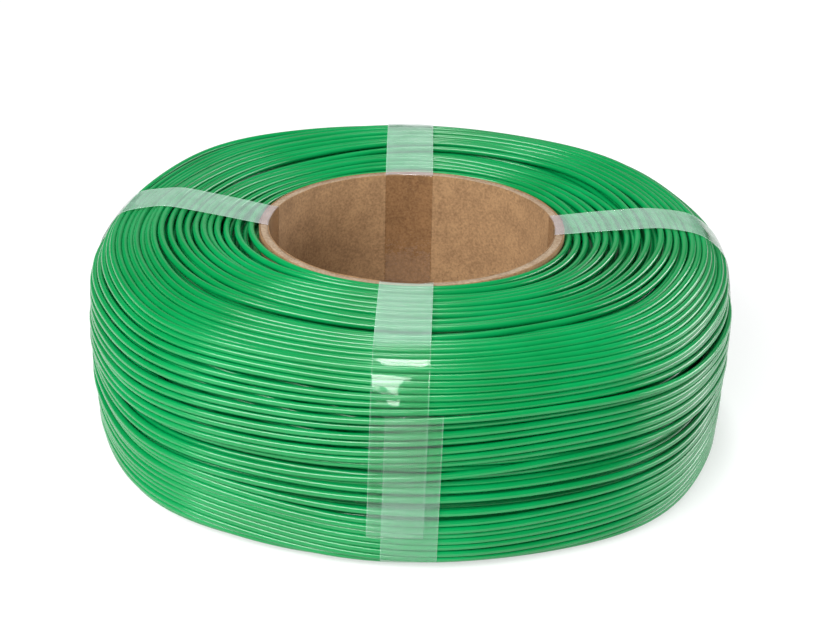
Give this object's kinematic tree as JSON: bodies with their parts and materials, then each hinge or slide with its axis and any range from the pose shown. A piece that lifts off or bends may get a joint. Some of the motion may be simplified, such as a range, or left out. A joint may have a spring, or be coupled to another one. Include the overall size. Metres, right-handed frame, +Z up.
{
  "type": "filament refill coil",
  "caption": "Spool-less coil of 3-D printing filament wound on a cardboard core tube and bound by loops of clear tape, with an open core bore.",
  "frame": {"origin": "centre of the underside, at the level of the tape that the coil rests on", "axes": "+Z up along the axis of the core tube; -Y towards the side where the lapped end of tape_front is seen; +X to the right of that side"},
  "size_m": [0.1736, 0.174, 0.0578],
  "materials": {
    "filament": "extruded green thermoplastic filament, semi-gloss",
    "kraft_liner": "uncoated kraft paper ply, fibrous and matt",
    "core_board": "cut edge of recycled grey-brown board plies",
    "clear_tape": "clear packing tape, slightly milky where it bridges the strands"
  },
  "bodies": {
    "root": {"core_inner_liner": "kraft_liner", "core_board": "core_board", "core_outer_liner": "kraft_liner", "filament_winding": "filament", "tape_front": "clear_tape", "tape_right": "clear_tape", "tape_back": "clear_tape", "tape_left": "clear_tape"}
  },
  "joints": []
}
